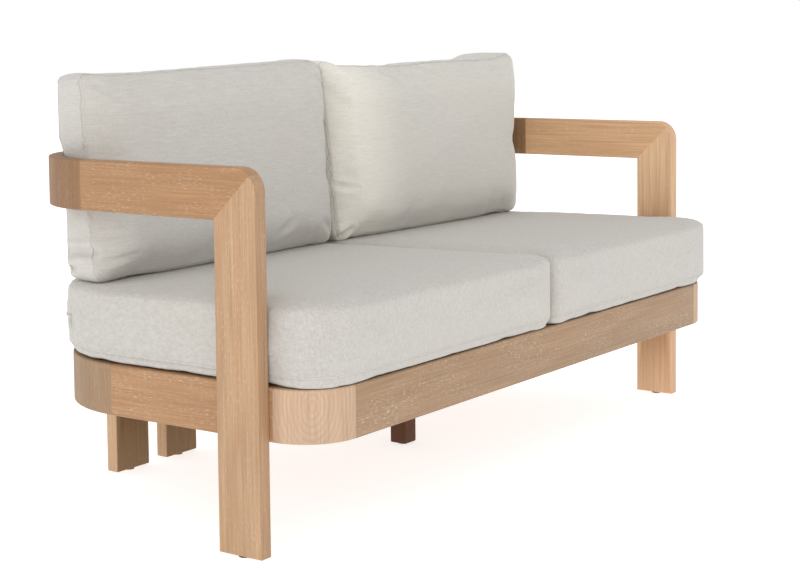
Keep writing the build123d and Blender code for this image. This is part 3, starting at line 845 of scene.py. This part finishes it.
def settled(points, sign):
    """Lets a back cushion down until its lower edge rests on the seat all along."""
    across = sign * points[:, 0]
    over_seat = points[:, 2] - seat_surface(points[:, 1])
    columns = np.linspace(0, back_width, 30)
    gaps = []
    for x in columns:
        near = np.abs(across - x) < 0.03
        gaps.append(over_seat[near].min())
    drop = np.clip(np.interp(across, columns, gaps) + rest_sink, 0, most_drop)
    fall_off = np.clip(1 - over_seat / drop_height, 0, 1) ** 2
    points[:, 2] -= drop * fall_off
    return points


def kept_in_ring(points, sign):
    """Keeps a back cushion clear of the arm, the round corner, the back rail and the seat."""
    across = np.clip(sign * points[:, 0], cushion_gap / 2, arm_inner_x - cushion_gap)
    over = bulge_over_ring * np.clip((points[:, 2] - arm_top_z) / bulge_rise, 0, 1)
    off_x, off_y = across - ring_corner.x, points[:, 1] - ring_corner.y
    reach = np.maximum(np.hypot(off_x, off_y), 1e-6)
    allowed = ring_inner_radius - ring_clearance + over
    outside = (off_x > 0) & (off_y > 0) & (reach > allowed)
    pull = np.where(outside, allowed / reach, 1)
    across = np.where(outside, ring_corner.x + off_x * pull, across)
    depth = np.where(outside, ring_corner.y + off_y * pull, points[:, 1])
    depth = np.minimum(depth, rail_plane - ring_clearance + over)
    height = np.maximum(points[:, 2], seat_surface(depth) + cushion_gap * 0.75)
    return np.stack([sign * across, depth, height], axis=1)


def creased(piece, start, end, width, depth):
    """Presses a fold into the cover along a line laid on it, with a soft lip on each side."""
    stations = np.linspace(0, 1, 24)[:, None]
    path = on_cover(piece, np.array(start) * (1 - stations) + np.array(end) * stations)
    tree = path_tree(path)
    points = points_of(piece.data)
    found = [tree.find(point)[1:] for point in points]
    along = np.array([i for i, _ in found]) / (len(path) - 1)
    distance = np.array([d for _, d in found])
    fade = np.sin(math.pi * np.clip(along, 0.06, 0.94)) ** 0.5
    fold = np.exp(-(distance / width) ** 2) - 0.45 * np.exp(-((distance - 2 * width) / width) ** 2)
    write_points(piece.data, points - normals_of(piece.data) * (depth * fade * fold)[:, None])


# Folds that the photograph shows: start, end, half width and depth
back_folds = {
    "left": (
        ((-0.712, 0.168, 0.474), (-0.700, 0.262, 0.468), 0.007, 0.008),
        ((-0.700, 0.235, 0.436), (-0.690, 0.285, 0.430), 0.006, 0.007),
        ((-0.706, 0.160, 0.452), (-0.630, 0.140, 0.464), 0.006, 0.004),
        ((-0.700, 0.160, 0.500), (-0.640, 0.140, 0.492), 0.007, 0.003),
        ((-0.220, 0.140, 0.455), (-0.180, 0.140, 0.482), 0.010, 0.004),
        ((-0.075, 0.150, 0.470), (-0.020, 0.165, 0.440), 0.007, 0.004),
        ((-0.090, 0.190, 0.790), (-0.020, 0.180, 0.735), 0.008, 0.005),
        ((-0.150, 0.190, 0.785), (-0.060, 0.170, 0.720), 0.009, 0.004),
        ((-0.690, 0.190, 0.770), (-0.640, 0.160, 0.745), 0.008, 0.004),
    ),
    "right": (
        ((0.002, 0.180, 0.536), (0.048, 0.150, 0.527), 0.006, 0.005),
        ((0.034, 0.145, 0.432), (0.010, 0.165, 0.412), 0.006, 0.009),
        ((0.040, 0.200, 0.788), (0.075, 0.180, 0.748), 0.007, 0.005),
        ((0.185, 0.190, 0.782), (0.240, 0.170, 0.748), 0.008, 0.006),
        ((0.250, 0.190, 0.780), (0.290, 0.170, 0.755), 0.007, 0.004),
        ((0.360, 0.180, 0.785), (0.392, 0.160, 0.742), 0.008, 0.005),
        ((0.620, 0.160, 0.790), (0.575, 0.150, 0.760), 0.010, 0.004),
    ),
}

back_seams = {}
for side, sign in (("left", -1), ("right", 1)):
    mirror = np.array((sign, 1, 1))
    outlines = [np.array(outline) * mirror for outline in back_slices(side)]
    back = blown_up(f"{side}_back_cushion", cover_mesh(f"{side}_back_cover_start", outlines),
                    back_pressure, back_most_moved, stretch_shares=(0.3, 1, 0.3),
                    wrinkle_share=0.55)
    points = crested(settled(points_of(back.data), sign), sign, side)
    write_points(back.data, points)
    for start, end, width, depth in back_folds[side]:
        creased(back, start, end, width, depth)
    write_points(back.data, kept_in_ring(points_of(back.data), sign))

    seams = [evenly(np.array(back_outline(side, place, inset)) * mirror)
             for place, inset in ((0, 0.002), (boxing, 0.002), (-0.004, 0.009))]
    for (path, stations), pucker in zip(seams[:2], (0.0018, 0.0012)):
        path = on_cover(back, path)
        points = sewn(points_of(back.data), normals_of(back.data), path, stations,
                      depth=0.0014, pucker=pucker, seed=11 + sign)
        write_points(back.data, kept_in_ring(points, sign))
    back_seams[side] = [on_cover(back, seam[0], lift)
                        for seam, lift in zip(seams, (0.0, 0.0, 0.0002))]
    finish_cushion(back, f"{side}_back_cushion", back_cloths[side], 0.6,
                   f"{side}_back_cover", f"{side}_back_core")


# Seams
# Each seam's folded edge stands up as a fine ridge, with a row of lockstitches in undyed polyester
# thread beside it. The ridge and the stitches follow lines laid on the finished covers.
ridge_radius = 0.0008
stitch_spacing = 0.0045
stitch_length = 0.0034
thread_radius = 0.0003
# Twisted thread: turns of two shades, with a slight sheen
thread, tree, output = new_material("twisted_polyester_thread")
place = add_node(tree, "ShaderNodeTexCoord").outputs["Object"]
twist = add_node(tree, "ShaderNodeTexNoise", {"Vector": place, "Scale": 900.0}).outputs["Fac"]
tone = add_node(tree, "ShaderNodeMix", {
    "Factor": twist, 6: linear("#B9B3A6"), 7: linear("#D3CDC0")}, data_type="RGBA").outputs[2]
yarn = add_node(tree, "ShaderNodeBsdfPrincipled", {
    "Base Color": tone, "Roughness": 0.6, "Sheen Weight": 0.1})
tree.links.new(yarn.outputs[0], output.inputs["Surface"])


def path_curve(name, paths, closed=True):
    """Paths as one curve object."""
    curve = bpy.data.curves.new(name, "CURVE")
    curve.dimensions = "3D"
    for path in paths:
        spline = curve.splines.new("POLY")
        spline.points.add(len(path) - 1)
        spline.points.foreach_set("co", np.c_[path, np.ones(len(path))].astype(np.float32).ravel())
        spline.use_cyclic_u = closed
    return add_object(name, curve)


def node_group(name, sizes):
    """An empty Geometry Nodes tree with a geometry input and named sizes; returns its ends too."""
    group = bpy.data.node_groups.new(name, "GeometryNodeTree")
    group.interface.new_socket("Geometry", in_out="INPUT", socket_type="NodeSocketGeometry")
    for size in sizes:
        group.interface.new_socket(size, in_out="INPUT", socket_type="NodeSocketFloat")
    group.interface.new_socket("Geometry", in_out="OUTPUT", socket_type="NodeSocketGeometry")
    return group, group.nodes.new("NodeGroupInput"), group.nodes.new("NodeGroupOutput")


def made_by_nodes(name, source, group, sizes):
    """The mesh that a Geometry Nodes tree makes from a source object, as a piece of its own."""
    nodes = source.modifiers.new(group.name, "NODES")
    nodes.node_group = group
    for socket in group.interface.items_tree:
        if socket.in_out == "INPUT" and socket.name in sizes:
            nodes[socket.identifier] = sizes[socket.name]
    graph = bpy.context.evaluated_depsgraph_get()
    mesh = bpy.data.meshes.new_from_object(source.evaluated_get(graph))
    mesh.name = name
    bpy.data.objects.remove(source)
    return add_object(name, mesh)


ridge_group, sizes_in, result = node_group("folded_seam_edge", ("Radius",))
profile = add_node(ridge_group, "GeometryNodeCurvePrimitiveCircle", {
    "Resolution": 6, "Radius": sizes_in.outputs["Radius"]})
resampled = add_node(ridge_group, "GeometryNodeResampleCurve", {
    "Curve": sizes_in.outputs["Geometry"], "Length": 0.004}, mode="LENGTH")
tube = add_node(ridge_group, "GeometryNodeCurveToMesh", {
    "Curve": resampled.outputs[0], "Profile Curve": profile.outputs[0]})
clothed = add_node(ridge_group, "GeometryNodeSetMaterial", {
    "Geometry": tube.outputs[0], "Material": seat_cloth})
ridge_group.links.new(clothed.outputs[0], result.inputs[0])

stitch_group, sizes_in, result = node_group("lockstitches", ("Spacing", "Length", "Radius"))
places = add_node(stitch_group, "GeometryNodeCurveToPoints", {
    "Curve": sizes_in.outputs["Geometry"], "Length": sizes_in.outputs["Spacing"]}, mode="LENGTH")
stitch = add_node(stitch_group, "GeometryNodeMeshCylinder", {
    "Vertices": 5, "Radius": sizes_in.outputs["Radius"], "Depth": sizes_in.outputs["Length"]})
copies = add_node(stitch_group, "GeometryNodeInstanceOnPoints", {
    "Points": places.outputs["Points"], "Instance": stitch.outputs["Mesh"],
    "Rotation": places.outputs["Rotation"]})
real = add_node(stitch_group, "GeometryNodeRealizeInstances", {0: copies.outputs[0]})
threaded = add_node(stitch_group, "GeometryNodeSetMaterial", {
    "Geometry": real.outputs[0], "Material": thread})
stitch_group.links.new(threaded.outputs[0], result.inputs[0])

for side in ("left", "right"):
    for kind, seams in (("seat", seat_seams[side]), ("back", back_seams[side])):
        ridge = made_by_nodes(
            f"{side}_{kind}_seams", path_curve("seam_path", seams[:-1]), ridge_group,
            {"Radius": ridge_radius})
        ridge.data.shade_smooth()
        stitches = made_by_nodes(
            f"{side}_{kind}_stitches", path_curve("stitch_path", seams[-1:]), stitch_group,
            {"Spacing": stitch_spacing, "Length": stitch_length, "Radius": thread_radius})
        for piece in (ridge, stitches):
            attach(piece, f"{side}_{kind}_cushion")


# Zips
# Each seat cover opens at its back along a nylon coil zip that turns the outer corner, where its
# slider rests. The coil is one moulded spiral, drawn as short ribs, and the slider is drawn in the
# same nylon.
zip_share = 0.52
zip_front_y = 0.232
zip_inner_x = 0.03
rib_spacing, rib_length, rib_radius = 0.003, 0.0019, 0.0017
slider_body, slider_pull = (0.011, 0.009, 0.004), (0.005, 0.020, 0.0014)
# Moulded nylon: smooth, and a little glossier than the cloth
nylon, tree, output = new_material("moulded_nylon_zip")
place = add_node(tree, "ShaderNodeTexCoord").outputs["Object"]
grain = add_node(tree, "ShaderNodeTexNoise", {"Vector": place, "Scale": 700.0}).outputs["Fac"]
tone = add_node(tree, "ShaderNodeMix", {
    "Factor": grain, 6: linear("#BDB9B1"), 7: linear("#D2CFC8")}, data_type="RGBA").outputs[2]
plastic = add_node(tree, "ShaderNodeBsdfPrincipled", {
    "Base Color": tone, "Roughness": 0.45, "IOR": 1.53})
tree.links.new(plastic.outputs[0], output.inputs["Surface"])


def zip_slider(name, place, along, out):
    """A small slider with a flat pull, lying on the cover at one place of the zip."""
    body = bmesh.new()
    for size, offset in ((slider_body, (0, 0, 0.0015)), (slider_pull, (0, -0.011, 0.004))):
        stretched = Matrix.Translation(offset) @ Matrix.Diagonal((*size, 1))
        bmesh.ops.create_cube(body, size=1, matrix=stretched)
    bmesh.ops.bevel(body, geom=body.edges[:], offset=0.0006, segments=2, affect="EDGES")
    up = out.cross(along)
    turn = Matrix((along, up, out)).transposed().to_4x4()
    body.transform(Matrix.Translation(place) @ turn)
    bmesh.ops.recalc_face_normals(body, faces=body.faces)
    mesh = bpy.data.meshes.new(name)
    body.to_mesh(mesh)
    body.free()
    mesh.materials.append(nylon)
    return add_object(name, mesh)


# The tree that lays stitches along a line lays the zip's ribs too, in nylon
threaded.inputs["Material"].default_value = nylon
for side, sign in (("left", -1), ("right", 1)):
    seat = bpy.data.objects[f"{side}_seat_cushion"]
    mirror = np.array((sign, 1, 1))
    outline = evenly(np.array(seat_outline(0, seat_height * zip_share)) * mirror)[0]
    opening = outline[(outline[:, 1] > zip_front_y) & (sign * outline[:, 0] > zip_inner_x)]
    zip_path = path_curve("zip_path", [on_cover(seat, opening, 0.0006)], closed=False)
    coil = made_by_nodes(
        f"{side}_seat_zip", zip_path, stitch_group,
        {"Spacing": rib_spacing, "Length": rib_length, "Radius": rib_radius})
    _, place, out, _ = seat.closest_point_on_mesh(opening[2])
    out = out.normalized()
    along = Vector(opening[6] - opening[2])
    along = (along - out * along.dot(out)).normalized()
    slider = zip_slider(f"{side}_seat_zip_slider", place, along * sign, out)
    for piece in (coil, slider):
        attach(piece, f"{side}_seat_cushion")
